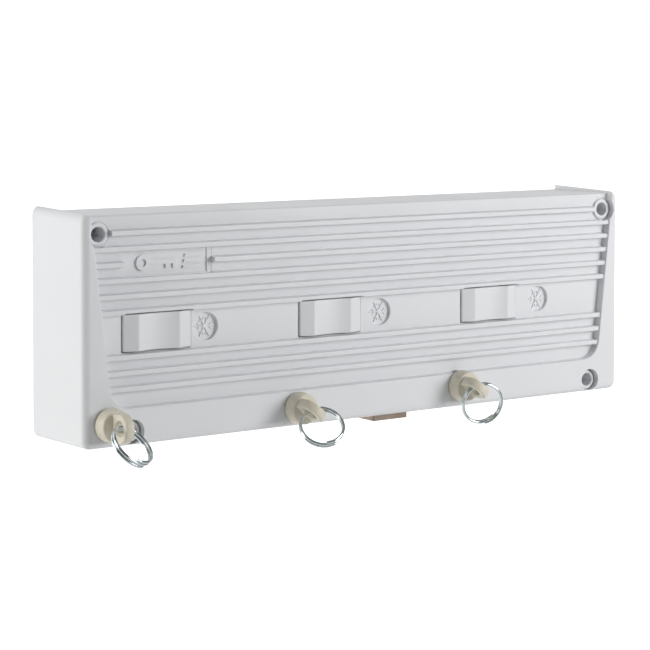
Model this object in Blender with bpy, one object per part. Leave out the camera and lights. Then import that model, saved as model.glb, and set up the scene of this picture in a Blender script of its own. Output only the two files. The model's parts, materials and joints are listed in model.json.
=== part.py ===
"""Wall key cabinet: a shell with three push buttons and three keyed plugs that carry split rings.

Lengths are in millimetres, and each finished piece is scaled to metres. +X runs along the
cabinet, -Y points out of the wall and +Z is up. The origin is the centre of the rear face.
"""

import math

import bmesh
import bpy
from mathutils import Matrix, Vector

# cover
WIDTH = 330.0
DEPTH = 48.2
HEIGHT = 109.3
DRAFT = 0.8
EDGE_RADIUS = 3.5
WALL = 3.05
TOP_STEP = 2.7
FRONT_DROP = 1.4
RIDGE_WIDTH = 3.2
RECESS_FLOOR = -44.2
INNER_FRONT = -40.5
RECESS_HALF = 153.9
RECESS_TAPER = 0.12
RECESS_BOTTOM = -36.8
RECESS_CORNER = 11.0

# ribs
RIB_TALL = 2.5
RIB_FACE = -47.3
RIB_BOTTOMS = (42.4, 35.1, 27.8, 20.5, 13.2, 5.9, -14.8, -22.1, -29.4)

# buttons
BUTTON_X = (-123.8, -25.1, 76.3)
BUTTON_Z = -2.7
BUTTON_WIDE = 36.6
BUTTON_TALL = 17.2
BUTTON_GAP = 0.5
BUTTON_SIDE = -45.0
BUTTON_RIDGE = -47.2
BUTTON_TRAVEL = 3.0
EMBLEM_X = (-96.9, 5.7, 110.4)
EMBLEM_Z = -2.5
EMBLEM_RADIUS = 6.6
EMBLEM_DEEP = 1.6

# plugs and their sockets
PLUG_AT = ((-151.2, -43.3), (-47.0, -45.2), (54.4, -43.1))
PLUG_TURN = (0.0, -48.0, -48.0)
COLLAR_RADIUS = 8.0
COLLAR_TAPER = 0.6
COLLAR_FRONT = -55.6
COLLAR_BACK = -48.6
SHANK_RADIUS = 3.5
SHANK_TIP = -17.0
BLADE_THICK = 4.4
BLADE_ROOT = 6.0
EYE_RADIUS = 6.8
EYE_Y = -60.8
EYE_HOLE = 3.3
SOCKET_HOLE = 7.1

# split rings
RING_RADIUS = 10.3
WIRE_RADIUS = 0.76
RING_PITCH = 1.56
RING_TURNS = 2.1
RING_SEAT = ((0.13, 0.09), (0.38, 0.54), (-0.65, 1.54))
RING_AZIMUTH = (0.6, 4.6, 94.8)
RING_ELEVATION = (42.5, 41.9, 61.0)
RING_TWIST = (-20.4, 18.9, -66.1)

# screws
SCREW_AT = ((-155.0, 43.4), (155.0, 43.4), (144.4, -48.2), (-138.6, -48.0))
POCKET_RADIUS = (6.2, 6.2, 5.9, 5.7)
POCKET_FLOOR = (-43.9, -43.9, -43.6, -43.6)
BOSS_RADIUS = 5.5
BOSS_FACE = (-45.2, -45.2, -45.7, -45.7)
COLUMN_RADIUS = (6.0, 6.0, 5.0, 5.0)
SCREW_HOLE = 3.5

# bottom catch
CATCH_X = (1.9, 23.1)
CATCH_Y = (-44.0, -28.0)
CATCH_FOOT = -57.3


def material(name, color, roughness, metallic=0.0):
    made = bpy.data.materials.new(name)
    made.use_nodes = True
    shader = made.node_tree.nodes["Principled BSDF"]
    shader.inputs["Base Color"].default_value = (*color, 1.0)
    shader.inputs["Roughness"].default_value = roughness
    shader.inputs["Metallic"].default_value = metallic
    made.diffuse_color = (*color, 1.0)
    return made


def make(name, verts, faces):
    """A mesh object from points in millimetres, with its faces turned outwards."""
    mesh = bpy.data.meshes.new(name)
    mesh.from_pydata([Vector(v) for v in verts], [], faces)
    work = bmesh.new()
    work.from_mesh(mesh)
    bmesh.ops.recalc_face_normals(work, faces=work.faces)
    work.to_mesh(mesh)
    work.free()
    obj = bpy.data.objects.new(name, mesh)
    bpy.context.scene.collection.objects.link(obj)
    return obj


def box(name, x, y, z):
    verts = [(a, b, c) for a in x for b in y for c in z]
    faces = [(0, 1, 3, 2), (4, 6, 7, 5), (0, 4, 5, 1), (2, 3, 7, 6), (0, 2, 6, 4), (1, 5, 7, 3)]
    return make(name, verts, faces)


def prism(name, outline, lo, hi, place):
    """An outline pulled from lo to hi. place turns (a, b, pull) into a point."""
    count = len(outline)
    verts = [place(a, b, lo) for a, b in outline] + [place(a, b, hi) for a, b in outline]
    faces = [tuple(range(count)), tuple(range(2 * count - 1, count - 1, -1))]
    faces += [(i, (i + 1) % count, count + (i + 1) % count, count + i) for i in range(count)]
    return make(name, verts, faces)


def facing(name, outline, y_back, y_front):
    """A prism along Y, with its outline in X and Z."""
    return prism(name, outline, y_back, y_front, lambda a, b, pull: (a, pull, b))


def lathe(name, profile, centre, steps=24):
    """Turns (radius, y) points about the line along Y through centre (x, z)."""
    verts = []
    rows = []
    for radius, y in profile:
        if radius == 0:
            rows.append([len(verts)])
            verts.append((centre[0], y, centre[1]))
            continue
        rows.append(list(range(len(verts), len(verts) + steps)))
        for i in range(steps):
            turn = math.tau * (i + 0.5) / steps
            verts.append((centre[0] + radius * math.cos(turn), y, centre[1] + radius * math.sin(turn)))
    faces = []
    pairs = list(zip(rows, rows[1:]))
    if len(rows[0]) > 1 and len(rows[-1]) > 1:
        pairs.append((rows[-1], rows[0]))
    for one, two in pairs:
        for i in range(steps):
            j = (i + 1) % steps
            if len(one) == 1:
                faces.append((one[0], two[i], two[j]))
            elif len(two) == 1:
                faces.append((one[i], two[0], one[j]))
            else:
                faces.append((one[i], one[j], two[j], two[i]))
    return make(name, verts, faces)


def rod(name, radius, y_back, y_front, centre, steps=24):
    return lathe(name, [(0, y_back), (radius, y_back), (radius, y_front), (0, y_front)], centre, steps)


def tube_along(name, path, radius, sides):
    """A round wire along a list of points, with flat ends."""
    verts = []
    count = len(path)
    side = None
    for i, point in enumerate(path):
        ahead = (path[min(i + 1, count - 1)] - path[max(i - 1, 0)]).normalized()
        if side is None:
            side = ahead.orthogonal().normalized()
        side = (side - ahead * side.dot(ahead)).normalized()
        other = ahead.cross(side)
        for k in range(sides):
            turn = math.tau * k / sides
            verts.append(point + radius * (math.cos(turn) * side + math.sin(turn) * other))
    faces = [tuple(range(sides)), tuple(range((count - 1) * sides, count * sides))]
    for i in range(count - 1):
        for k in range(sides):
            n = (k + 1) % sides
            faces.append((i * sides + k, i * sides + n, (i + 1) * sides + n, (i + 1) * sides + k))
    return make(name, verts, faces)


def combine(obj, tool, how):
    """Applies one exact Boolean and removes the tool."""
    modifier = obj.modifiers.new("cut", "BOOLEAN")
    modifier.operation = how
    modifier.solver = "EXACT"
    modifier.object = tool
    graph = bpy.context.evaluated_depsgraph_get()
    result = bpy.data.meshes.new_from_object(obj.evaluated_get(graph))
    work = bmesh.new()
    work.from_mesh(result)
    bmesh.ops.remove_doubles(work, verts=work.verts, dist=0.0005)
    bmesh.ops.dissolve_degenerate(work, edges=work.edges, dist=0.0005)
    bmesh.ops.triangulate(work, faces=work.faces)
    work.to_mesh(result)
    work.free()
    obj.modifiers.clear()
    obj.data = result
    bpy.data.objects.remove(tool)
    return obj


def cut(obj, tool):
    return combine(obj, tool, "DIFFERENCE")


def add(obj, tool):
    return combine(obj, tool, "UNION")


def finish(obj, look, origin=(0, 0, 0), smooth=None):
    """Scales the piece to metres and puts its origin where it turns or slides."""
    shift = Vector(origin) * 0.001
    work = bmesh.new()
    work.from_mesh(obj.data)
    bmesh.ops.dissolve_limit(
        work, angle_limit=math.radians(0.3), verts=work.verts, edges=work.edges, use_dissolve_boundaries=False
    )
    bmesh.ops.triangulate(work, faces=work.faces)
    work.to_mesh(obj.data)
    work.free()
    obj.data.transform(Matrix.Translation(-shift) @ Matrix.Scale(0.001, 4))
    obj.location = shift
    obj.data.materials.clear()
    obj.data.materials.append(look)
    if smooth:
        obj.data.shade_smooth()
        obj.data.set_sharp_from_angle(angle=math.radians(smooth))
    return obj


def rounded_rectangle(half_x, low, high, radius, steps=4):
    points = []
    corners = ((half_x, high, 0), (-half_x, high, 90), (-half_x, low, 180), (half_x, low, 270))
    for x, z, start in corners:
        cx = x - math.copysign(radius, x)
        cz = z - radius if z == high else z + radius
        for i in range(steps + 1):
            turn = math.radians(start + 90 * i / steps)
            points.append((cx + radius * math.cos(turn), cz + radius * math.sin(turn)))
    return points


def loft(name, rows):
    """Joins closed rows of points that share a count, and caps both ends."""
    count = len(rows[0])
    verts = [p for row in rows for p in row]
    faces = [tuple(range(count)), tuple(range(len(verts) - count, len(verts)))]
    for r in range(len(rows) - 1):
        for i in range(count):
            j = (i + 1) % count
            faces.append((r * count + i, r * count + j, (r + 1) * count + j, (r + 1) * count + i))
    return make(name, verts, faces)


def front_cover():
    rows = []
    half, tall = WIDTH / 2, HEIGHT / 2
    for depth, inset in [(0, 0)] + [
        (DEPTH - EDGE_RADIUS + EDGE_RADIUS * math.sin(a), DRAFT + EDGE_RADIUS * (1 - math.cos(a)))
        for a in (0, math.radians(30), math.radians(60), math.radians(90))
    ]:
        low = -tall + (inset if depth else 0)
        high = tall - inset - (FRONT_DROP if depth else 0)
        outline = rounded_rectangle(half - inset, low, high, 4.2 - min(inset, 3.9) * 0.9)
        rows.append([(x, -depth, z) for x, z in outline])
    cover = loft("front_cover", rows)
    ridge = half - RIDGE_WIDTH
    cut(cover, box("tool", (-ridge, ridge), (-60, 10), (tall - TOP_STEP, 80)))

    # the recess opens upwards, and its sides lean out towards the top
    side = lambda z: RECESS_HALF + RECESS_TAPER * z
    corner = []
    for i in range(6):
        turn = math.radians(90 * i / 5)
        reach = side(RECESS_BOTTOM + RECESS_CORNER) - RECESS_CORNER
        corner.append(
            (
                reach + RECESS_CORNER * math.cos(turn),
                RECESS_BOTTOM + RECESS_CORNER - RECESS_CORNER * math.sin(turn),
            )
        )
    right = [(side(70), 70)] + corner
    outline = right + [(-x, z) for x, z in reversed(right)]
    cut(cover, facing("tool", outline, RECESS_FLOOR, -60))

    cavity = box("tool", (-half + 3.5, half - 3.5), (INNER_FRONT, 5), (-tall + WALL, tall - TOP_STEP - 3))
    for (x, z), radius in zip(SCREW_AT, COLUMN_RADIUS):
        cut(cavity, rod("hole", radius, -9, -50, (x, z)))
    cut(cover, cavity)
    cut(cover, rod("tool", 8.2, -19, INNER_FRONT - 0.3, PLUG_AT[1]))

    for z in RIB_BOTTOMS:
        reach = side(z) + 1.5
        lean = 0.25
        section = [
            (RECESS_FLOOR + 1.0, z - lean),
            (RECESS_FLOOR + 1.0, z + RIB_TALL + lean),
            (RIB_FACE + 0.4, z + RIB_TALL),
            (RIB_FACE, z + RIB_TALL - 0.4),
            (RIB_FACE, z + 0.4),
            (RIB_FACE + 0.4, z),
        ]
        add(cover, prism("tool", section, -reach, reach, lambda a, b, pull: (pull, a, b)))

    # a sunken panel with a plain key sign takes the place of some ribs
    cut(cover, box("tool", (-142.0, -93.6), (RECESS_FLOOR + 0.15, -60), (22.9, 35.2)))
    deep = RECESS_FLOOR + 0.7
    cut(cover, box("tool", (-141.4, -96.2), (deep, -60), (23.4, 34.8)))
    bow = [(-131 + 3.6 * math.cos(i * math.tau / 12), 29.2 + 3.6 * math.sin(i * math.tau / 12)) for i in range(12)]
    sign = facing("tool", bow, deep + 1, deep - 0.5)
    cut(sign, rod("hole", 1.7, deep - 0.1, -60, (-131, 29.2), 12))
    add(cover, sign)
    shaft = [(-128, 28.3), (-128, 30.1), (-113, 30.1), (-113, 26.6), (-114.6, 26.6), (-114.6, 28.3)]
    shaft += [(-117, 28.3), (-117, 26.6), (-118.6, 26.6), (-118.6, 28.3)]
    add(cover, facing("tool", shaft, deep + 1.1, deep - 0.45))
    for k in range(3):
        z = 25.8 + 2.6 * k
        add(cover, box("tool", (-109.5, -99.5), (deep + 1.1, deep - 0.45), (z, z + 1.2)))

    for x, ex in zip(BUTTON_X, EMBLEM_X):
        wide = BUTTON_WIDE / 2 + BUTTON_GAP
        high = BUTTON_TALL / 2 + BUTTON_GAP
        cut(cover, box("tool", (x - wide, x + wide), (-38, -60), (BUTTON_Z - high, BUTTON_Z + high)))
        cut(cover, rod("tool", EMBLEM_RADIUS, RECESS_FLOOR + EMBLEM_DEEP, -60, (ex, EMBLEM_Z), 32))
        star = []
        for i in range(12):
            reach = 5.5 if i % 2 == 0 else 1.5
            turn = math.tau * i / 12
            star.append((ex + reach * math.cos(turn), EMBLEM_Z + reach * math.sin(turn)))
        add(cover, facing("tool", star, RECESS_FLOOR + EMBLEM_DEEP + 0.8, RECESS_FLOOR + EMBLEM_DEEP - 0.5))

    for x, z in PLUG_AT:
        cut(cover, rod("tool", SOCKET_HOLE, -35, -60, (x, z), 32))

    for (x, z), radius, floor, face in zip(SCREW_AT, POCKET_RADIUS, POCKET_FLOOR, BOSS_FACE):
        cut(cover, rod("tool", radius, floor, -60, (x, z), 32))
        boss = BOSS_RADIUS if radius > 6 else radius - 0.9
        add(cover, rod("tool", boss, -41.2, face, (x, z), 32))
        cut(cover, rod("tool", SCREW_HOLE, -12, -60, (x, z), 24))
        cut(cover, rod("tool", 1.9, -5, -20, (x, z), 16))

    cut(cover, box("tool", (CATCH_X[0] - 0.4, CATCH_X[1] + 0.4), (CATCH_Y[0] - 0.4, CATCH_Y[1] + 0.4), (-70, -50.2)))
    return finish(cover, WHITE, smooth=35)


def back_plate():
    half, tall = WIDTH / 2, HEIGHT / 2
    top = tall - TOP_STEP - 3.4
    plate = box("back_plate", (-half + 3.9, half - 3.9), (-3, 0), (-tall + WALL + 0.4, top))
    for x, z in SCREW_AT:
        add(plate, rod("tool", 2.75, -1.5, -8.6, (x, z), 16))
        cut(plate, rod("tool", 1.55, -1.2, -12, (x, z), 12))
    for x in BUTTON_X:
        add(plate, rod("tool", 6.0, -1.5, -12, (x, BUTTON_Z), 20))
        cut(plate, rod("tool", 3.4, -3.4, -15, (x, BUTTON_Z), 20))
        add(plate, rod("tool", 3.2, -1.5, -20.3, (x - 14, 16), 16))
        cut(plate, rod("tool", 1.3, -12, -25, (x - 14, 16), 12))
    for x in (-100, 100):
        keyhole = [(x - 2.2, 22), (x - 2.2, 30), (x + 2.2, 30), (x + 2.2, 22)]
        cut(plate, rod("tool", 4.5, 2, -5, (x, 20), 20))
        cut(plate, facing("tool", keyhole, 2, -5))
    return finish(plate, GREY, smooth=35)


def cover_screw(index):
    x, z = SCREW_AT[index]
    screw = lathe(
        f"cover_screw_{index + 1}",
        [(0, -3.5), (0.9, -3.9), (1.4, -5), (1.4, -12.4), (3.1, -12.4), (3.1, -14), (2.3, -14.9), (0, -15.1)],
        (x, z),
        16,
    )
    cut(screw, box("tool", (x - 1.8, x + 1.8), (-13.9, -20), (z - 0.4, z + 0.4)))
    cut(screw, box("tool", (x - 0.41, x + 0.41), (-13.8, -20), (z - 1.81, z + 1.81)))
    return finish(screw, STEEL, smooth=35)


def socket_bush(index):
    profile = [(5.4, -26), (5.4, -47.9), (6.8, -47.9), (6.8, -40.2), (7.8, -40.2), (7.8, -38), (6.8, -37), (6.8, -26)]
    return finish(lathe(f"socket_bush_{index + 1}", profile, PLUG_AT[index], 24), GREY, smooth=35)


def lock_core(index):
    x, z = PLUG_AT[index]
    profile = [(3.8, -23.7), (3.8, -47.9), (5.2, -47.9), (5.2, -25.7), (6.4, -25.7), (6.4, -23.7)]
    core = lathe(f"lock_core_{index + 1}", profile, (x, z), 20)
    slot = box("tool", (x - 1.0, x + 1.0), (-20, -52), (z, z + 4.7))
    turn_about(slot, (x, 0, z), PLUG_TURN[index])
    cut(core, slot)
    return finish(core, BRASS, (x, -48, z), smooth=35)


def turn_about(obj, centre, degrees):
    """Turns a mesh about the line along +Y through centre."""
    point = Vector(centre)
    spin = Matrix.Rotation(math.radians(degrees), 4, "Y")
    obj.data.transform(Matrix.Translation(point) @ spin @ Matrix.Translation(-point))


def key_plug(index):
    x, z = PLUG_AT[index]
    profile = [
        (0, SHANK_TIP),
        (2.2, SHANK_TIP),
        (SHANK_RADIUS, SHANK_TIP - 1.5),
        (SHANK_RADIUS, -19.8),
        (2.4, -19.8),
        (2.4, -22.2),
        (SHANK_RADIUS, -22.2),
        (SHANK_RADIUS, COLLAR_BACK),
        (COLLAR_RADIUS - 0.4, COLLAR_BACK),
        (COLLAR_RADIUS, COLLAR_BACK - 0.5),
        (COLLAR_RADIUS - COLLAR_TAPER, COLLAR_FRONT + 0.8),
        (COLLAR_RADIUS - COLLAR_TAPER - 0.8, COLLAR_FRONT),
        (0, COLLAR_FRONT),
    ]
    plug = lathe(f"key_plug_{index + 1}", profile, (x, z), 32)
    outline = [(COLLAR_FRONT + 2, -BLADE_ROOT), (COLLAR_FRONT, -BLADE_ROOT)]
    for i in range(13):
        turn = math.radians(-90 + 15 * i)
        outline.append((EYE_Y - EYE_RADIUS * math.cos(turn), EYE_RADIUS * math.sin(turn)))
    outline += [(COLLAR_FRONT, BLADE_ROOT), (COLLAR_FRONT + 2, BLADE_ROOT)]
    half = BLADE_THICK / 2
    blade = prism("blade", outline, -half, half, lambda a, b, pull: (x + pull, a, z + b))
    hole = []
    for i in range(20):
        turn = math.tau * (i + 0.5) / 20
        hole.append((EYE_Y + EYE_HOLE * math.cos(turn), EYE_HOLE * math.sin(turn)))
    cut(blade, prism("tool", hole, -9, 9, lambda a, b, pull: (x + pull, a, z + b)))
    add(plug, blade)
    add(plug, box("tool", (x - 0.8, x + 0.8), (-26, -49.6), (z + 1, z + 4.5)))
    turn_about(plug, (x, 0, z), PLUG_TURN[index])
    return finish(plug, IVORY, (x, COLLAR_BACK, z), smooth=35)


def ring_frame(index):
    """Where the wire sits in the eye, and the directions to the middle of the ring and across it."""
    x, z = PLUG_AT[index]
    azimuth = math.radians(RING_AZIMUTH[index])
    below = math.radians(RING_ELEVATION[index])
    down = Vector(
        (math.cos(below) * math.sin(azimuth), -math.cos(below) * math.cos(azimuth), -math.sin(below))
    )
    across = down.cross(Vector((0, 0, 1))).normalized()
    across = Matrix.Rotation(math.radians(RING_TWIST[index]), 3, down) @ across
    ahead, aside = RING_SEAT[index]
    lean = math.radians(PLUG_TURN[index])
    seat = Vector((x + aside * math.sin(lean), EYE_Y + ahead, z + aside * math.cos(lean)))
    return seat, down, across


def split_ring(index):
    seat, down, across = ring_frame(index)
    normal = down.cross(across)
    middle = seat + down * RING_RADIUS
    path = []
    steps = 60
    for i in range(steps + 1):
        turns = RING_TURNS * (i / steps - 0.5)
        angle = math.tau * (turns + 0.5)
        spot = middle + RING_RADIUS * (-math.cos(angle) * down + math.sin(angle) * across)
        path.append(spot + RING_PITCH * turns * normal)
    x, z = PLUG_AT[index]
    return finish(tube_along(f"split_ring_{index + 1}", path, WIRE_RADIUS, 8), STEEL, (x, EYE_Y, z), smooth=50)


def button(index):
    x = BUTTON_X[index]
    half = BUTTON_WIDE / 2
    outline = [(half, -39.5), (half, BUTTON_SIDE), (11.0, BUTTON_RIDGE)]
    for i in range(1, 8):
        across = 11.0 - 22.0 * i / 8
        outline.append((across, BUTTON_RIDGE + 1.8 * (1 - (across / 11.0) ** 2)))
    outline += [(-11.0, BUTTON_RIDGE), (-half, BUTTON_SIDE), (-half, -39.5)]
    low, high = BUTTON_Z - BUTTON_TALL / 2, BUTTON_Z + BUTTON_TALL / 2
    cap = prism(f"button_{index + 1}", outline, low, high, lambda a, b, pull: (x + a, b, pull))
    add(cap, box("tool", (x - 20.2, x + 20.2), (-38.6, -40.1), (low - 1.7, high + 1.7)))
    add(cap, rod("tool", 3.0, -7, -39.3, (x, BUTTON_Z), 20))
    add(cap, box("tool", (x - 15.5, x - 12.5), (-21.9, -39.2), (BUTTON_Z - 2, BUTTON_Z + 2)))
    return finish(cap, WHITE, (x, RECESS_FLOOR, BUTTON_Z), smooth=30)


def button_spring(index):
    x = BUTTON_X[index]
    path = []
    turns, per_turn = 5, 9
    for i in range(turns * per_turn + 1):
        angle = math.tau * i / per_turn
        y = -12.8 - 25.0 * i / (turns * per_turn)
        path.append(Vector((x + 4.4 * math.cos(angle), y, BUTTON_Z + 4.4 * math.sin(angle))))
    return finish(tube_along(f"button_spring_{index + 1}", path, 0.45, 4), STEEL, (x, -12.4, BUTTON_Z), smooth=80)


def latch_leaf(index):
    start = BUTTON_X[index] - 14
    x, z = PLUG_AT[index]
    outline = [
        (start - 3, 20),
        (start + 3, 20),
        (start + 3, -17),
        (x + 3, -32),
        (x + 3, z + 2.9),
        (x - 3, z + 2.9),
        (x - 3, -34),
        (start - 3, -19),
    ]
    leaf = facing(f"latch_leaf_{index + 1}", outline, -20.6, -21.4)
    cut(leaf, rod("tool", 1.5, -15, -25, (start, 16), 12))
    return finish(leaf, STEEL)


def leaf_screw(index):
    centre = (BUTTON_X[index] - 14, 16)
    profile = [(0, -12.6), (1.0, -13.4), (1.0, -21.7), (2.8, -21.7), (2.8, -22.7), (2.0, -23.3), (0, -23.4)]
    return finish(lathe(f"leaf_screw_{index + 1}", profile, centre, 16), STEEL, smooth=35)


def bottom_catch():
    catch = box("bottom_catch", CATCH_X, CATCH_Y, (CATCH_FOOT, -50.6))
    add(catch, box("tool", (CATCH_X[0] - 3, CATCH_X[1] + 3), (-40.2, CATCH_Y[1] + 3), (-51.3, -49.0)))
    return finish(catch, BRONZE)


for old in list(bpy.data.objects):
    bpy.data.objects.remove(old)

WHITE = material("cover_white", (0.78, 0.79, 0.8), 0.42)
GREY = material("inner_grey", (0.42, 0.43, 0.45), 0.5)
IVORY = material("plug_ivory", (0.7, 0.66, 0.55), 0.45)
STEEL = material("bright_steel", (0.62, 0.64, 0.67), 0.25, 1.0)
BRASS = material("core_brass", (0.7, 0.55, 0.3), 0.35, 1.0)
BRONZE = material("catch_bronze", (0.36, 0.29, 0.24), 0.4, 1.0)

front_cover()
back_plate()
bottom_catch()
for number in range(4):
    cover_screw(number)
for number in range(3):
    socket_bush(number)
    lock_core(number)
    key_plug(number)
    split_ring(number)
    button(number)
    button_spring(number)
    latch_leaf(number)
    leaf_screw(number)
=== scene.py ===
import json
import math

import bmesh
import bpy
from mathutils import Matrix, Vector


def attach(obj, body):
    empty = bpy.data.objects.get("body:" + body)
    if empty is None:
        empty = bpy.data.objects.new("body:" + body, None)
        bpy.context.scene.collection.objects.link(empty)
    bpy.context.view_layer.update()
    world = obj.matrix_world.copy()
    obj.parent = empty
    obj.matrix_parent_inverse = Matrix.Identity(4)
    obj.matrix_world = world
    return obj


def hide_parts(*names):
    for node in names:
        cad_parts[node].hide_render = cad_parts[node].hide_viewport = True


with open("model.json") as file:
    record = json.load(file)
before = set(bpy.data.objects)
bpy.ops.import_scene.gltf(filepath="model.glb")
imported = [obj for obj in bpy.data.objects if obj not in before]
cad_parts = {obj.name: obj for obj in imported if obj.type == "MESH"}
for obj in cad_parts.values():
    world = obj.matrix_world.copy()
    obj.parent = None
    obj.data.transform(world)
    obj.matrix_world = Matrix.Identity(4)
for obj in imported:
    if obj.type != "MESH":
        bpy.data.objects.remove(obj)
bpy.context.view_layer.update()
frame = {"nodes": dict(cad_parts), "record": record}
record = frame["record"]
scene = bpy.context.scene

# camera, world and lights

cameraLook = {
    "place": (-0.61294, -0.86349, 0.11499),  # metres
    "turn": 35.53,  # degrees to the right of +Y
    "dip": 2.459,  # degrees below level
    "lens": 114.2,
    "lift": -0.2462,
}
camera = bpy.data.objects.new("mainCamera", bpy.data.cameras.new("mainCamera"))
scene.collection.objects.link(camera)
camera.location = cameraLook["place"]
camera.rotation_euler = (math.radians(90 - cameraLook["dip"]), 0, -math.radians(cameraLook["turn"]))
camera.data.sensor_width = 36
camera.data.lens = cameraLook["lens"]
camera.data.shift_y = cameraLook["lift"]
camera.data.clip_start = 0.05
camera.data.clip_end = 50
scene.camera = camera
scene.view_settings.view_transform = "Standard"
print("camera ready")

lightLook = {
    "skyAhead": 1.0,  # behind the cabinet
    "skyBehind": 0.10,  # behind the viewer
    "skyTint": (0.97, 0.985, 1.0),
    "skyFade": (0.05, 0.6),  # part of the way ahead over which the sky brightens
    "lamps": [
        # name, place, aimed at, width, height, watts, colour
        ("keyRight", (0.60, -0.82, 0.27), (0.05, 0, 0), 0.5, 0.6, 7.1, (1.0, 1.0, 1.0)),
        ("sideLeft", (-1.3, 0.2, 0.35), (-0.165, 0, 0), 0.8, 0.8, 7.7, (1.0, 0.985, 0.96)),
        ("topSoft", (-0.1, -0.6, 1.1), (0, 0, 0), 1.2, 0.7, 1.0, (0.98, 0.99, 1.0)),
    ],
    "floorDrop": 0.55,  # metres under the cabinet's centre
    "floorReach": 9.0,
    "floorColor": (0.8, 0.8, 0.8),
    "floorNear": 0.06,  # glow under the cabinet
    "floorShine": 1.02,  # glow further out
    "floorFade": (0.2, 0.8),
}


def buildWorld():
    world = bpy.data.worlds.new("softStudio")
    scene.world = world
    world.use_nodes = True
    tree = world.node_tree
    tree.nodes.clear()
    out = tree.nodes.new("ShaderNodeOutputWorld")
    back = tree.nodes.new("ShaderNodeBackground")
    coords = tree.nodes.new("ShaderNodeTexCoord")
    split = tree.nodes.new("ShaderNodeSeparateXYZ")
    ramp = tree.nodes.new("ShaderNodeMapRange")
    tint = tree.nodes.new("ShaderNodeMixRGB")
    tree.links.new(coords.outputs["Generated"], split.inputs[0])
    ramp.inputs["From Min"].default_value, ramp.inputs["From Max"].default_value = lightLook["skyFade"]
    tree.links.new(split.outputs["Y"], ramp.inputs["Value"])
    dim = lightLook["skyBehind"]
    tint.inputs["Color1"].default_value = (*[dim * c for c in lightLook["skyTint"]], 1)
    tint.inputs["Color2"].default_value = (lightLook["skyAhead"],) * 3 + (1,)
    tree.links.new(ramp.outputs["Result"], tint.inputs["Fac"])
    tree.links.new(tint.outputs["Color"], back.inputs["Color"])
    tree.links.new(back.outputs["Background"], out.inputs["Surface"])


def buildLamps():
    for name, place, aim, wide, tall, watts, color in lightLook["lamps"]:
        lamp = bpy.data.lights.new(name, "AREA")
        lamp.shape = "RECTANGLE"
        lamp.size = wide
        lamp.size_y = tall
        lamp.energy = watts
        lamp.color = color
        obj = bpy.data.objects.new(name, lamp)
        scene.collection.objects.link(obj)
        obj.location = place
        toward = Vector(aim) - Vector(place)
        obj.rotation_euler = toward.to_track_quat("-Z", "Y").to_euler()


buildWorld()
buildLamps()
print("lights ready")


# materials

def startMaterial(name, color, roughness, metallic=0.0):
    made = bpy.data.materials.new(name)
    made.use_nodes = True
    tree = made.node_tree
    shader = tree.nodes["Principled BSDF"]
    shader.inputs["Base Color"].default_value = (*color, 1)
    shader.inputs["Roughness"].default_value = roughness
    shader.inputs["Metallic"].default_value = metallic
    return made, tree, shader


def addNoise(tree, scale, detail, stretch=(1, 1, 1)):
    coords = tree.nodes.new("ShaderNodeTexCoord")
    place = tree.nodes.new("ShaderNodeMapping")
    place.inputs["Scale"].default_value = stretch
    noise = tree.nodes.new("ShaderNodeTexNoise")
    noise.inputs["Scale"].default_value = scale
    noise.inputs["Detail"].default_value = detail
    tree.links.new(coords.outputs["Object"], place.inputs["Vector"])
    tree.links.new(place.outputs["Vector"], noise.inputs["Vector"])
    return noise.outputs["Fac"]


def spread(tree, value, low, high, fromLow=0.3, fromHigh=0.7):
    node = tree.nodes.new("ShaderNodeMapRange")
    node.inputs["From Min"].default_value = fromLow
    node.inputs["From Max"].default_value = fromHigh
    node.inputs["To Min"].default_value = low
    node.inputs["To Max"].default_value = high
    tree.links.new(value, node.inputs["Value"])
    return node.outputs["Result"]


def blendColors(tree, factor, one, two):
    node = tree.nodes.new("ShaderNodeMixRGB")
    node.inputs["Color1"].default_value = (*one, 1)
    node.inputs["Color2"].default_value = (*two, 1)
    tree.links.new(factor, node.inputs["Fac"])
    return node.outputs["Color"]


def addBumps(tree, shader, layers):
    last = None
    for value, distance, strength in layers:
        bump = tree.nodes.new("ShaderNodeBump")
        bump.inputs["Distance"].default_value = distance
        bump.inputs["Strength"].default_value = strength
        tree.links.new(value, bump.inputs["Height"])
        if last:
            tree.links.new(last, bump.inputs["Normal"])
        last = bump.outputs["Normal"]
    tree.links.new(last, shader.inputs["Normal"])


def plasticMaterial(name, look):
    made, tree, shader = startMaterial(name, look["color"], look["roughness"])
    patch = addNoise(tree, look["patchScale"], 3)
    tree.links.new(
        blendColors(tree, spread(tree, patch, 0, 1), look["color"], look["colorTwo"]),
        shader.inputs["Base Color"],
    )
    smear = addNoise(tree, 35, 4, (1, 1, 2.5))  # faint marks of handling
    rough = look["roughness"]
    tree.links.new(spread(tree, smear, rough - 0.05, rough + 0.07), shader.inputs["Roughness"])
    grain = addNoise(tree, look["grainScale"], 2)
    wave = addNoise(tree, 18, 2)  # slow unevenness of the moulding
    addBumps(tree, shader, [(grain, look["grainDepth"], 0.5), (wave, 0.0004, look["waveStrength"])])
    shader.inputs["Specular IOR Level"].default_value = look["shine"]
    shader.inputs["Subsurface Weight"].default_value = look["soft"]
    shader.inputs["Subsurface Radius"].default_value = (0.002, 0.002, 0.0018)
    shader.inputs["Subsurface Scale"].default_value = 0.6
    return made


def metalMaterial(name, look):
    made, tree, shader = startMaterial(name, look["color"], look["roughness"], look["metallic"])
    patch = addNoise(tree, look["patchScale"], 4)
    tree.links.new(
        blendColors(tree, spread(tree, patch, 0, 1), look["color"], look["colorTwo"]),
        shader.inputs["Base Color"],
    )
    streak = addNoise(tree, look["streakScale"], 5, look["streakStretch"])
    rough = look["roughness"]
    tree.links.new(spread(tree, streak, rough * 0.7, rough * 1.5), shader.inputs["Roughness"])
    addBumps(tree, shader, [(streak, look["bumpDepth"], 0.35)])
    return made


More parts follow.
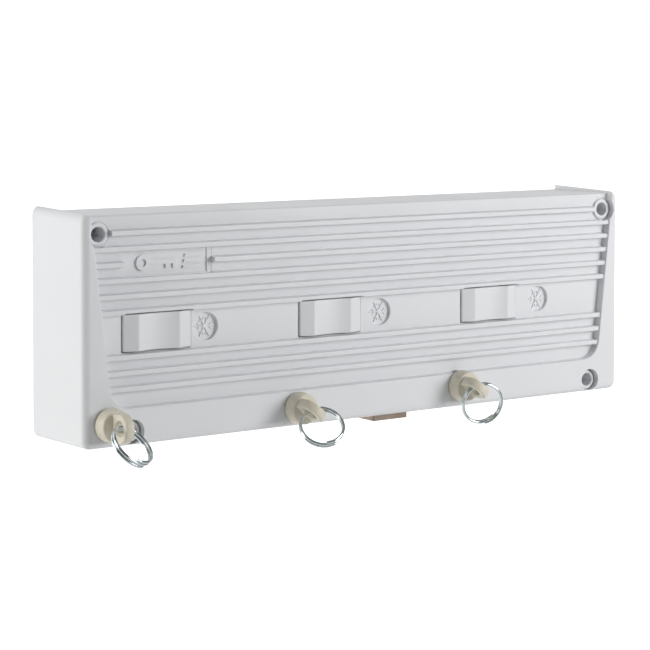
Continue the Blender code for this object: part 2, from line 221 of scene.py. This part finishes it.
plasticLook = {
    "coverWhite": {
        "color": (0.79, 0.80, 0.815), "colorTwo": (0.775, 0.785, 0.805), "roughness": 0.44, "patchScale": 14,
        "grainScale": 2600, "grainDepth": 0.00003, "waveStrength": 0.04, "shine": 0.42, "soft": 0.0,
    },
    "buttonWhite": {
        "color": (0.80, 0.81, 0.825), "colorTwo": (0.785, 0.797, 0.815), "roughness": 0.36, "patchScale": 25,
        "grainScale": 3200, "grainDepth": 0.00002, "waveStrength": 0.04, "shine": 0.45, "soft": 0.0,
    },
    "plugIvory": {
        "color": (0.76, 0.72, 0.60), "colorTwo": (0.71, 0.665, 0.54), "roughness": 0.42, "patchScale": 160,
        "grainScale": 3000, "grainDepth": 0.00003, "waveStrength": 0.08, "shine": 0.4, "soft": 0.08,
    },
    "innerGrey": {
        "color": (0.40, 0.41, 0.43), "colorTwo": (0.36, 0.37, 0.39), "roughness": 0.5, "patchScale": 20,
        "grainScale": 2200, "grainDepth": 0.00004, "waveStrength": 0.05, "shine": 0.35, "soft": 0.0,
    },
}
metalLook = {
    "ringSteel": {
        "color": (0.74, 0.80, 0.80), "colorTwo": (0.60, 0.66, 0.68), "roughness": 0.07, "metallic": 1.0,
        "patchScale": 240, "streakScale": 500, "streakStretch": (1, 1, 1), "bumpDepth": 0.00001,
    },
    "brightSteel": {
        "color": (0.58, 0.60, 0.62), "colorTwo": (0.48, 0.50, 0.52), "roughness": 0.3, "metallic": 1.0,
        "patchScale": 200, "streakScale": 300, "streakStretch": (1, 1, 8), "bumpDepth": 0.00003,
    },
    "coreBrass": {
        "color": (0.70, 0.54, 0.28), "colorTwo": (0.60, 0.45, 0.22), "roughness": 0.3, "metallic": 1.0,
        "patchScale": 180, "streakScale": 260, "streakStretch": (1, 12, 1), "bumpDepth": 0.00004,
    },
    "screwZinc": {
        "color": (0.17, 0.20, 0.195), "colorTwo": (0.13, 0.16, 0.155), "roughness": 0.45, "metallic": 0.6,
        "patchScale": 120, "streakScale": 150, "streakStretch": (1, 1, 1), "bumpDepth": 0.00002,
    },
    "catchBronze": {
        "color": (0.33, 0.265, 0.215), "colorTwo": (0.24, 0.185, 0.145), "roughness": 0.36, "metallic": 0.85,
        "patchScale": 150, "streakScale": 220, "streakStretch": (1, 6, 1), "bumpDepth": 0.00005,
    },
}
materials = {name: plasticMaterial(name, look) for name, look in plasticLook.items()}
materials.update({name: metalMaterial(name, look) for name, look in metalLook.items()})
slotMaterial = {
    "cover_white": "coverWhite", "button_white": "buttonWhite", "inner_grey": "innerGrey",
    "plug_ivory": "plugIvory", "ring_steel": "ringSteel", "bright_steel": "brightSteel",
    "core_brass": "coreBrass", "catch_bronze": "catchBronze",
}
nodeSlot = {entry["node"]: entry["material_slot"] for entry in record["subparts"]}
nodeBody = {node: body for body, nodes in record["behaviour"]["bodies"].items() for node in nodes}
print("materials ready")


# mesh tools, in millimetres

def meshFrom(name, points, faces):
    mesh = bpy.data.meshes.new(name)
    mesh.from_pydata([Vector(p) for p in points], [], faces)
    work = bmesh.new()
    work.from_mesh(mesh)
    bmesh.ops.recalc_face_normals(work, faces=work.faces)
    work.to_mesh(mesh)
    work.free()
    obj = bpy.data.objects.new(name, mesh)
    scene.collection.objects.link(obj)
    return obj


def block(name, x, y, z):
    points = [(a, b, c) for a in x for b in y for c in z]
    faces = [(0, 1, 3, 2), (4, 6, 7, 5), (0, 4, 5, 1), (2, 3, 7, 6), (0, 2, 6, 4), (1, 5, 7, 3)]
    return meshFrom(name, points, faces)


def loft(name, rows):
    count = len(rows[0])
    points = [p for row in rows for p in row]
    faces = [tuple(range(count)), tuple(range(len(points) - count, len(points)))]
    for r in range(len(rows) - 1):
        for i in range(count):
            j = (i + 1) % count
            faces.append((r * count + i, r * count + j, (r + 1) * count + j, (r + 1) * count + i))
    return meshFrom(name, points, faces)


def pulled(name, outline, first, last, place):
    return loft(name, [[place(a, b, pull) for a, b in outline] for pull in (first, last)])


def facing(name, outline, back, front):
    return pulled(name, outline, back, front, lambda a, b, pull: (a, pull, b))


def turned(name, profile, centre, steps=48):
    rows = []
    points = []
    faces = []
    for radius, y in profile:
        if radius == 0:
            rows.append([len(points)] * steps)
            points.append((centre[0], y, centre[1]))
            continue
        rows.append(list(range(len(points), len(points) + steps)))
        for i in range(steps):
            turn = math.tau * (i + 0.5) / steps
            points.append((centre[0] + radius * math.cos(turn), y, centre[1] + radius * math.sin(turn)))
    pairs = list(zip(rows, rows[1:]))
    if len(set(rows[0])) > 1:
        pairs.append((rows[-1], rows[0]))
    for one, two in pairs:
        for i in range(steps):
            j = (i + 1) % steps
            face = []
            for corner in (one[i], one[j], two[j], two[i]):
                if corner not in face:
                    face.append(corner)
            faces.append(tuple(face))
    return meshFrom(name, points, faces)


quarterTurn = (0, 0.5, 1, 1.5708)  # radians, for the short rounded edges


def arc(centre, radius, start, end, steps):
    # points on an arc, in degrees
    turns = [math.radians(start + (end - start) * i / steps) for i in range(steps + 1)]
    return [(centre[0] + radius * math.cos(t), centre[1] + radius * math.sin(t)) for t in turns]


def drill(centre, radius, floor, mouth, flare=0.5, fillet=0.0, steps=48):
    # a hole cutter along Y with a rounded mouth and a rounded floor
    profile = [(0, floor)]
    if fillet:
        profile += [(radius - fillet + fillet * math.sin(a), floor - fillet * (1 - math.cos(a)))
                    for a in (0, 0.52, 1.05, 1.5708)]
    else:
        profile += [(radius, floor)]
    if flare:
        profile += [(radius + flare * (1 - math.cos(a)), mouth - 0.02 + flare * (math.sin(1.2) - math.sin(a)))
                    for a in (0, 0.3, 0.6, 0.9, 1.2)]
    profile += [(profile[-1][0], mouth - 12), (0, mouth - 12)]
    return turned("tool", profile, centre, steps)


def combine(obj, tool, how):
    modifier = obj.modifiers.new("join", "BOOLEAN")
    modifier.operation = how
    modifier.solver = "EXACT"
    modifier.object = tool
    graph = bpy.context.evaluated_depsgraph_get()
    result = bpy.data.meshes.new_from_object(obj.evaluated_get(graph))
    work = bmesh.new()
    work.from_mesh(result)
    bmesh.ops.remove_doubles(work, verts=work.verts, dist=0.0001)
    work.to_mesh(result)
    work.free()
    obj.modifiers.clear()
    obj.data = result
    bpy.data.objects.remove(tool)
    return obj


def cut(obj, tool):
    return combine(obj, tool, "DIFFERENCE")


def add(obj, tool):
    return combine(obj, tool, "UNION")


def joined(parts):
    # pieces that don't touch, as one tool
    work = bmesh.new()
    for part in parts:
        work.from_mesh(part.data)
    work.to_mesh(parts[0].data)
    work.free()
    for part in parts[1:]:
        bpy.data.objects.remove(part)
    return parts[0]


def roundEdges(obj, width, steps=3, angle=35):
    bevel = obj.modifiers.new("soften", "BEVEL")
    bevel.width = width
    bevel.segments = steps
    bevel.limit_method = "ANGLE"
    bevel.angle_limit = math.radians(angle)
    bevel.use_clamp_overlap = True
    graph = bpy.context.evaluated_depsgraph_get()
    result = bpy.data.meshes.new_from_object(obj.evaluated_get(graph))
    obj.modifiers.clear()
    obj.data = result
    return obj


def settle(obj, name, node, look, tidy=True, sharp=40, weight=True):
    # scales to metres, shades and hangs the piece on its node's body
    work = bmesh.new()
    work.from_mesh(obj.data)
    if tidy:
        bmesh.ops.dissolve_limit(work, angle_limit=math.radians(0.15), verts=work.verts, edges=work.edges)
        bmesh.ops.triangulate(work, faces=[f for f in work.faces if len(f.verts) > 4])
    work.to_mesh(obj.data)
    work.free()
    obj.data.transform(Matrix.Scale(0.001, 4))
    obj.name = name
    obj.data.name = name
    obj.data.materials.clear()
    obj.data.materials.append(materials[look])
    obj.data.shade_smooth()
    obj.data.set_sharp_from_angle(angle=math.radians(sharp))
    if weight:
        normals = obj.modifiers.new("evenNormals", "WEIGHTED_NORMAL")
        normals.keep_sharp = True
        normals.weight = 50
    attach(obj, nodeBody[node])
    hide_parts(node)
    return obj


# front cover

coverLook = {
    "width": 330.0, "depth": 48.2, "height": 109.3, "draft": 0.8, "edge": 3.5, "corner": 4.2,
    "topStep": 2.7, "ridge": 3.2, "frontDrop": 1.4, "wall": 3.05,
    "floor": -44.2, "inner": -40.5, "half": 153.9, "taper": 0.12, "bottom": -36.8, "recessCorner": 11.0,
    "rimRound": 0.7, "footRound": 0.5, "channelRound": 0.9, "wallInset": 0.25, "ease": 1.1,
    "sideWall": 3.5, "topWall": 3.0, "bushRoom": 8.2, "bushDepth": (-19, -40.8),
    "ribs": (42.4, 35.1, 27.8, 20.5, 13.2, 5.9, -14.8, -22.1, -29.4), "ribTall": 2.5, "ribFace": -47.3,
    "ribHeel": 0.4, "ribNose": 0.45,
    "buttonX": (-123.8, -25.1, 76.3), "buttonZ": -2.7, "buttonWide": 36.6, "buttonTall": 17.2, "gap": 0.5,
    "windowCorner": 0.9,
    "emblemX": (-96.9, 5.7, 110.4), "emblemZ": -2.5, "emblemRadius": 6.6, "emblemDeep": 1.6,
    "plugAt": ((-151.2, -43.3), (-47.0, -45.2), (54.4, -43.1)), "socketHole": 7.1,
    "screwAt": ((-155.0, 43.4), (155.0, 43.4), (144.4, -48.2), (-138.6, -48.0)),
    "pocket": (6.2, 6.2, 5.9, 5.7), "boss": (5.5, 5.5, 5.0, 4.8), "column": (6.0, 6.0, 5.0, 5.0),
    "pocketFloor": (-43.9, -43.9, -43.6, -43.6), "bossFace": (-45.2, -45.2, -45.7, -45.7), "screwHole": 3.5,
    "bossRoot": -41.2, "bossRound": 0.7, "shankHole": 1.9, "holeFlare": 0.3,
    "catchX": (1.9, 23.1), "catchY": (-44.0, -28.0), "catchGap": 0.4,
}


def roundedOutline(halfX, bottom, top, radius, steps=8):
    points = []
    for x, z, start in ((halfX, top, 0), (-halfX, top, 90), (-halfX, bottom, 180), (halfX, bottom, 270)):
        centre = (x - math.copysign(radius, x), z - radius if z == top else z + radius)
        points += arc(centre, radius, start, start + 90, steps)
    return points


def recessOutline(grow, steps=14):
    c = coverLook
    side = lambda z: c["half"] + c["taper"] * z + grow
    radius = c["recessCorner"] + grow
    bottom = c["bottom"] - grow
    reach = side(bottom + radius) - radius
    right = [(side(70), 70)] + arc((reach, bottom + radius), radius, 0, -90, steps)
    return right + [(-x, z) for x, z in reversed(right)]


def buildCover():
    c = coverLook
    half, tall, depth = c["width"] / 2, c["height"] / 2, c["depth"]
    rows = []
    # how far the outline steps in at each depth
    steps = [(0.0, 0.3), (0.35, 0.0)]
    edge = c["edge"]
    steps += [(depth - edge + edge * math.sin(a), edge * (1 - math.cos(a)))
              for a in [math.radians(90 * i / 8) for i in range(9)]]
    for y, inset in steps:
        slope = c["draft"] * min(y / (depth - edge), 1)
        drop = c["frontDrop"] * min(y / (depth - edge), 1)
        outline = roundedOutline(
            half - inset - slope, -tall + inset + slope * 0.4, tall - inset - drop,
            max(c["corner"] - inset * 0.9, 0.8))
        rows.append([(x, -y, z) for x, z in outline])
    cover = loft("front_cover_shell", rows)

    # a shallow channel along the top leaves the two end cheeks standing
    ridge, level = half - c["ridge"], tall - c["topStep"]
    soft = c["channelRound"]
    channel = [(ridge + soft, 80)] + arc((ridge + soft, tall - 1.0), soft, 90, 180, 5)
    channel += arc((ridge - soft, level + soft), soft, 0, -90, 5)
    channel = channel + [(-x, z) for x, z in reversed(channel)]
    cut(cover, facing("tool", channel, 10, -60))

    rim, foot = c["rimRound"], c["footRound"]
    rows = [(-60, rim * (1 - math.cos(1.2)))]
    rows += [(-depth - 0.02 + rim * (math.sin(1.2) - math.sin(a)), rim * (1 - math.cos(a)))
             for a in (1.2, 0.9, 0.6, 0.3, 0)]
    wallIn = -c["wallInset"]
    rows += [(c["floor"] - foot + foot * math.sin(a), wallIn - foot * (1 - math.cos(a)))
             for a in (0, 0.4, 0.8, 1.2, 1.5708)]
    cut(cover, loft("tool", [[(x, y, z) for x, z in recessOutline(grow)] for y, grow in rows]))

    # the upper edge of the recess floor is eased
    ease = c["ease"]
    front, top = c["floor"], level
    nick = [(front - 1.5, top + 1.5), (front - 1.5, top - ease), (front + 0.01, top - ease)]
    nick += [(front + ease - ease * math.cos(a), top - ease + ease * math.sin(a))
             for a in (0.3, 0.6, 0.9, 1.2, 1.5)]
    nick += [(front + ease, top + 1.5)]
    reach = c["half"] + c["taper"] * top - 0.2
    cut(cover, pulled("tool", nick, -reach, reach, lambda a, b, pull: (pull, a, b)))

    wide = half - c["sideWall"]
    cavity = block("tool", (-wide, wide), (c["inner"], 5), (-tall + c["wall"], level - c["topWall"]))
    for at, radius in zip(c["screwAt"], c["column"]):
        cut(cavity, turned("hole", [(0, -9), (radius, -9), (radius, -50), (0, -50)], at, 32))
    cut(cover, cavity)
    # room for the middle socket, which reaches past the lower wall
    room, (near, far) = c["bushRoom"], c["bushDepth"]
    cut(cover, turned("tool", [(0, near), (room, near), (room, far), (0, far)], c["plugAt"][1], 32))
    print("cover shell ready")

    ribs = []
    heel, nose = c["ribHeel"], c["ribNose"]
    for z in c["ribs"]:
        reach = c["half"] + c["taper"] * z + 0.6
        base, face, top = c["floor"], c["ribFace"], z + c["ribTall"]
        section = [(base + 1, z - 0.6), (base, z - 0.6)]
        section += [(base - heel + heel * math.cos(a), z - 0.6 + heel * math.sin(a)) for a in (0.6, 1.2)]
        section += [(base - 0.5, z - 0.18)]
        section += [(face + nose - nose * math.sin(a), z + 0.05 + nose * (1 - math.cos(a)))
                    for a in quarterTurn]
        section += [(face + nose - nose * math.cos(a), top - 0.5 + nose * math.sin(a)) for a in quarterTurn]
        section += [(base - 0.5, top + 0.12), (base, top + 0.5), (base + 1, top + 0.5)]
        ribs.append(pulled("rib", section, -reach, reach, lambda a, b, pull: (pull, a, b)))
    add(cover, joined(ribs))
    print("ribs ready")

    buildLabel(cover)
    holes = []
    emblems = []
    for x, emblem in zip(c["buttonX"], c["emblemX"]):
        wide, high = c["buttonWide"] / 2 + c["gap"], c["buttonTall"] / 2 + c["gap"]
        flare = c["holeFlare"]
        rows = [(-38.0, 0.0)]
        rows += [(c["floor"] - 0.02 + flare * (math.sin(1.2) - math.sin(a)), flare * (1 - math.cos(a)))
                 for a in (0, 0.4, 0.8, 1.2)]
        rows += [(-60, flare * (1 - math.cos(1.2)))]
        middle = c["buttonZ"]
        cutter = []
        for y, grow in rows:
            outline = roundedOutline(
                wide + grow, middle - high - grow, middle + high + grow, c["windowCorner"] + grow, 4)
            cutter.append([(x + px, y, pz) for px, pz in outline])
        holes.append(loft("tool", cutter))
        deep = c["floor"] + c["emblemDeep"]
        holes.append(drill((emblem, c["emblemZ"]), c["emblemRadius"], deep, c["floor"], 0.5, 0.5, 64))
        emblems.append(makeRosette(emblem, c["emblemZ"]))
    for at in c["plugAt"]:
        holes.append(drill(at, c["socketHole"], -35, -c["depth"], c["holeFlare"], 0, 48))
    cut(cover, joined(holes))
    add(cover, joined(emblems))
    print("windows and emblems ready")
    pits = zip(c["screwAt"], c["pocket"], c["pocketFloor"])
    flare = c["holeFlare"]
    cut(cover, joined([drill(at, pocket, pit, -c["depth"], flare, flare, 64) for at, pocket, pit in pits]))
    bosses = []
    soft = c["bossRound"]
    for at, boss, face in zip(c["screwAt"], c["boss"], c["bossFace"]):
        profile = [(0, c["bossRoot"]), (boss, c["bossRoot"])]
        profile += [(boss - soft + soft * math.cos(a), face + soft - soft * math.sin(a)) for a in quarterTurn]
        profile += [(0, face)]
        bosses.append(turned("boss", profile, at, 64))
    add(cover, joined(bosses))
    faces = zip(c["screwAt"], c["bossFace"])
    cut(cover, joined([drill(at, c["screwHole"], -12, face, 0.45, 0, 48) for at, face in faces]))
    shank = c["shankHole"]
    narrow = [(0, -5), (shank, -5), (shank, -20), (0, -20)]
    cut(cover, joined([turned("tool", narrow, at, 24) for at in c["screwAt"]]))
    x, y = c["catchX"], c["catchY"]
    gap = c["catchGap"]
    cut(cover, block("tool", (x[0] - gap, x[1] + gap), (y[0] - gap, y[1] + gap), (-70, -50.2)))
    settle(cover, "front_cover_shell", "front_cover", "coverWhite", sharp=38)
    print("cover ready")


emblemLook = {
    "arms": 6,
    "hub": 1.1,
    "hubProud": 0.58,
    "hubRoot": 0.7,
    "twigs": [
        # start, bend, length, half thickness, proud, root
        (0.86, 0.0, 4.8, 0.4, 0.5, 0.6),
        (2.6, 0.9, 1.9, 0.32, 0.42, 0.5),
        (2.7, -0.9, 1.9, 0.32, 0.38, 0.4),
    ],
}


def makeRosette(x, z):
    # thin arms round a hub, each with two side twigs
    e = emblemLook
    base = coverLook["floor"] + coverLook["emblemDeep"]
    hub, root, face = e["hub"], base + e["hubRoot"], base - e["hubProud"]
    disc = [(0, root), (hub, root), (hub, face + 0.18), (hub - 0.3, face), (0, face)]
    rosette = turned("rosette", disc, (x, z), 24)
    for arm in range(e["arms"]):
        turn = math.tau * arm / e["arms"]
        for start, bend, length, thick, proud, root in e["twigs"]:
            ax, az = math.cos(turn + bend), math.sin(turn + bend)
            fx, fz = x + start * math.cos(turn), z + start * math.sin(turn)
            rows = []
            levels = ((base + root, 0, 0), (base - proud * 0.4, 0, 0), (base - proud, 0.16, 0.15))
            for y, slim, short in levels:
                row = []
                for along, across in ((0, -1), (length - short, -0.7), (length - short, 0.7), (0, 1)):
                    wide = across * (thick - slim)
                    row.append((fx + along * ax - wide * az, y, fz + along * az + wide * ax))
                rows.append(row)
            add(rosette, loft("twig", rows))
    return rosette


labelLook = {
    "roomX": (-142.0, -93.6), "roomZ": (22.9, 35.2), "roomDeep": 0.15,  # where the ribs stop short
    "panelX": (-141.4, -96.2), "panelZ": (23.4, 34.8), "panelDeep": 0.7,
    "bowAt": (-131, 29.2), "bow": 3.6, "bowHole": 1.8, "bowProud": 0.95, "shaftProud": 0.9,
    "bars": 3, "barStep": 2.6, "barTall": 1.3, "barProud": 0.85,
}


def buildLabel(cover):
    # a sunken panel with a key sign and plain bars
    t = labelLook
    floor = coverLook["floor"]
    cut(cover, block("tool", t["roomX"], (floor + t["roomDeep"], -60), t["roomZ"]))
    deep = floor + t["panelDeep"]
    (left, right), (bottom, top) = t["panelX"], t["panelZ"]
    sunk = []
    for y, grow in ((deep, -0.2), (deep - 0.2, 0.0), (floor + 0.3, 0.05), (floor - 0.02, 0.2), (-60, 0.2)):
        corners = ((left - grow, bottom - grow), (right + grow, bottom - grow), (right + grow, top + grow),
                   (left - grow, top + grow))
        sunk.append([(a, y, b) for a, b in corners])
    cut(cover, loft("tool", sunk))
    bow = arc(t["bowAt"], t["bow"], 0, 360, 28)[:-1]
    sign = facing("sign", bow, deep + 1, deep - t["bowProud"])
    hole = t["bowHole"]
    cut(sign, turned("hole", [(0, deep - 0.1), (hole, deep - 0.1), (hole, -60), (0, -60)], t["bowAt"], 24))
    # the shaft with its two teeth
    shaft = [(-128, 28.2), (-128, 30.2), (-113, 30.2), (-113, 26.2), (-114.8, 26.2), (-114.8, 28.2),
             (-117, 28.2), (-117, 26.2), (-118.8, 26.2), (-118.8, 28.2)]
    add(sign, facing("tool", shaft, deep + 1.1, deep - t["shaftProud"]))
    marks = [sign]
    for k in range(t["bars"]):
        z, start = 25.8 + t["barStep"] * k, -109.5 + 0.5 * k
        bar = [(start, z), (start + 10, z), (start + 10.5, z + t["barTall"]), (start + 0.5, z + t["barTall"])]
        marks.append(facing("bar", bar, deep + 1.1, deep - t["barProud"]))
    add(cover, joined(marks))


buildCover()


# buttons

buttonLook = {
    "ridge": -47.2, "dish": 1.8, "ridgeAt": 11.0, "sides": -45.0, "round": 0.5, "capBack": -39.5,
    "flangeHalf": 20.2, "flangeY": (-38.6, -40.1), "flangeOver": 1.7, "stem": 3.0, "stemEnd": -7.0,
}


def buildButton(number):
    c, b = coverLook, buttonLook
    x = c["buttonX"][number]
    half, tall, middle = c["buttonWide"] / 2, c["buttonTall"] / 2, c["buttonZ"]
    outline = [(half, b["capBack"]), (half, b["sides"]), (b["ridgeAt"], b["ridge"])]
    for i in range(1, 24):
        across = b["ridgeAt"] * (1 - i / 12)
        outline.append((across, b["ridge"] + b["dish"] * (1 - (across / b["ridgeAt"]) ** 2)))
    outline += [(-b["ridgeAt"], b["ridge"]), (-half, b["sides"]), (-half, b["capBack"])]
    cap = pulled("cap", outline, middle - tall, middle + tall, lambda a, d, pull: (x + a, d, pull))
    roundEdges(cap, b["round"], 3, 16)
    settle(cap, f"button_{number + 1}_cap", f"button_{number + 1}", "buttonWhite", tidy=False, sharp=50)
    over, wide = tall + b["flangeOver"], b["flangeHalf"]
    guts = block("guts", (x - wide, x + wide), b["flangeY"], (middle - over, middle + over))
    stem, end = b["stem"], b["stemEnd"]
    profile = [(0, end), (stem - 0.6, end), (stem, end - 0.6), (stem, -39.3), (0, -39.3)]
    add(guts, turned("tool", profile, (x, middle), 32))
    # the finger that pushes the latch leaf
    add(guts, block("tool", (x - 15.5, x - 12.5), (-21.9, -39.2), (middle - 2, middle + 2)))
    settle(guts, f"button_{number + 1}_stem", f"button_{number + 1}", "buttonWhite")


# plugs

plugLook = {
    "turn": (0.0, -48.0, -48.0),  # degrees each plug is turned in its socket
    "collar": 8.0, "taper": 0.6, "front": -55.6, "back": -48.6, "shank": 3.5,
    "tip": -17.0, "grooveY": (-19.8, -22.2), "groove": 2.4,
    "thick": 4.4, "swell": 0.3, "eye": 6.8, "eyeY": -60.8, "hole": 3.3, "round": 0.9, "root": 6.0,
    "eyeSteps": 96,
}


def turnAbout(obj, x, z, degrees):
    shift = Matrix.Translation(Vector((x, 0, z)))
    obj.data.transform(shift @ Matrix.Rotation(math.radians(degrees), 4, "Y") @ shift.inverted())


def buildPlug(number):
    p = plugLook
    x, z = coverLook["plugAt"][number]
    node = f"key_plug_{number + 1}"
    big, front, back = p["collar"], p["front"], p["back"]
    shank, groove, (near, far) = p["shank"], p["groove"], p["grooveY"]
    profile = [(0, p["tip"]), (2.2, p["tip"]), (shank, p["tip"] - 1.5), (shank, near), (groove, near)]
    profile += [(groove, far), (shank, far), (shank, back)]
    profile += [(big - 0.6 + 0.5 * math.sin(a), back - 0.5 * (1 - math.cos(a))) for a in (0, 0.8, 1.5708)]
    slim = big - p["taper"]
    profile += [(big, back - 1.2), (slim, front + 1.1)]
    profile += [(slim - 1 + math.cos(a), front + 1 - math.sin(a)) for a in (0.3, 0.7, 1.1, 1.5708)]
    profile += [(slim - 2.2, front + 0.02), (0, front + 0.02)]
    body = turned("body", profile, (x, z), 64)
    # the rib that turns the core
    add(body, block("tool", (x - 0.8, x + 0.8), (-26, -49.6), (z + 1, z + 4.5)))
    turnAbout(body, x, z, p["turn"][number])
    settle(body, f"{node}_body", node, "plugIvory", sharp=45)

    # the eyelet is a rounded section carried round the hole, wider and thicker towards the collar
    count = p["eyeSteps"]
    half, soft, middle, hole = p["thick"] / 2, p["round"], p["eyeY"], p["hole"]
    section = []
    for outside, sign in ((0, 1), (1, -1)):
        for a in (-90, -60, -30, 0, 30, 60, 90):
            t = math.radians(a * sign)
            flat = (half - soft) * (1 if t > 0 else -1 if t < 0 else 0)
            section.append((outside, sign * soft * (1 - math.cos(t)), flat + soft * math.sin(t)))
    length = front + 1.6 - middle
    points = []
    for outside, push, across in section:
        for i in range(count):
            turn = math.tau * i / count
            dy, dz = -math.cos(turn), math.sin(turn)
            reach = hole
            if outside and dy <= 0:
                reach = p["eye"]
            elif outside:
                # towards the collar the outside runs straight back to the root
                side = p["eye"] + (p["root"] - p["eye"]) * min(dy / max(abs(dz), 0.01) * p["eye"] / length, 1)
                reach = min(length / dy, side / max(abs(dz), 0.001))
            reach += push
            swell = 1 + p["swell"] * max(dy * reach / length, 0) ** 2
            points.append((x + across * swell, middle + dy * reach, z + dz * reach))
    faces = []
    total = len(section)
    for r in range(total):
        n = (r + 1) % total
        for i in range(count):
            j = (i + 1) % count
            faces.append((r * count + i, r * count + j, n * count + j, n * count + i))
    eye = meshFrom("eye", points, faces)
    turnAbout(eye, x, z, p["turn"][number])
    settle(eye, f"{node}_eye", node, "plugIvory", tidy=False, sharp=60)


# split rings

ringLook = {
    "radius": 10.3, "wire": 0.745, "pitch": 1.56, "turns": 2.1,
    "seat": ((0.13, 0.09), (0.38, 0.54), (-0.65, 1.54)), "azimuth": (0.6, 4.6, 94.8),
    "elevation": (42.5, 41.9, 61.0), "twist": (-20.4, 18.9, -66.1), "steps": 190, "sides": 16,
}


def buildRing(number):
    g = ringLook
    x, z = coverLook["plugAt"][number]
    azimuth, below = math.radians(g["azimuth"][number]), math.radians(g["elevation"][number])
    level = math.cos(below)
    down = Vector((level * math.sin(azimuth), -level * math.cos(azimuth), -math.sin(below)))
    across = down.cross(Vector((0, 0, 1))).normalized()
    across = Matrix.Rotation(math.radians(g["twist"][number]), 3, down) @ across
    ahead, aside = g["seat"][number]
    lean = math.radians(plugLook["turn"][number])
    seat = Vector((x + aside * math.sin(lean), plugLook["eyeY"] + ahead, z + aside * math.cos(lean)))
    middle = seat + down * g["radius"]
    normal = down.cross(across)
    steps, sides = g["steps"], g["sides"]
    path = []
    for i in range(steps + 1):
        turns = g["turns"] * (i / steps - 0.5)
        angle = math.tau * (turns + 0.5)
        spot = middle + g["radius"] * (-math.cos(angle) * down + math.sin(angle) * across)
        path.append(spot + g["pitch"] * turns * normal)
    rows = []
    for i, point in enumerate(path):
        ahead = (path[min(i + 1, steps)] - path[max(i - 1, 0)]).normalized()
        out = (normal - ahead * normal.dot(ahead)).normalized()
        other = ahead.cross(out)
        # the cut ends of the wire are eased
        end = min(i, steps - i)
        radius = g["wire"] * (0.72 if end == 0 else 0.93 if end == 1 else 1.0)
        turns = [math.tau * k / sides for k in range(sides)]
        rows.append([point + radius * (math.cos(t) * out + math.sin(t) * other) for t in turns])
    ring = loft("ring", rows)
    node = f"split_ring_{number + 1}"
    settle(ring, f"{node}_wire", node, "ringSteel", tidy=False, sharp=60, weight=False)


for number in range(3):
    buildButton(number)
    buildPlug(number)
    buildRing(number)
print("buttons, plugs and rings ready")


# catch foot

catchLook = {"foot": -57.3, "round": 0.5, "flange": 3.0, "flangeZ": (-51.3, -49.0)}


def buildCatch():
    x, y = coverLook["catchX"], coverLook["catchY"]
    over = catchLook["flange"]
    foot = block("foot", x, y, (catchLook["foot"], -50.6))
    add(foot, block("tool", (x[0] - over, x[1] + over), (-40.2, y[1] + over), catchLook["flangeZ"]))
    roundEdges(foot, catchLook["round"], 3, 50)
    settle(foot, "bottom_catch_foot", "bottom_catch", "catchBronze", tidy=False)


buildCatch()

# the pieces kept from the frame get finer materials
replaced = ("front_cover", "button_", "key_plug_", "split_ring_", "bottom_catch")
for node, obj in frame["nodes"].items():
    if node.startswith(replaced) and not node.startswith("button_spring"):
        continue
    look = "screwZinc" if node.startswith("cover_screw") else slotMaterial[nodeSlot[node]]
    for place in obj.material_slots:
        place.material = materials[look]

# floor

def buildFloor():
    reach = lightLook["floorReach"]
    corners = [(-reach, -reach, 0), (reach, -reach, 0), (reach, reach, 0), (-reach, reach, 0)]
    floor = meshFrom("paleFloor", corners, [(0, 1, 2, 3)])
    floor.location.z = -lightLook["floorDrop"]
    made, tree, shader = startMaterial("floorWhite", lightLook["floorColor"], 0.7)
    # pale paper under the cabinet, fully lit further out
    coords = tree.nodes.new("ShaderNodeTexCoord")
    split = tree.nodes.new("ShaderNodeSeparateXYZ")
    tree.links.new(coords.outputs["Object"], split.inputs[0])
    glow = spread(
        tree, split.outputs["Y"], lightLook["floorNear"], lightLook["floorShine"], *lightLook["floorFade"])
    shader.inputs["Emission Color"].default_value = (1, 1, 1, 1)
    tree.links.new(glow, shader.inputs["Emission Strength"])
    floor.data.materials.append(made)


buildFloor()
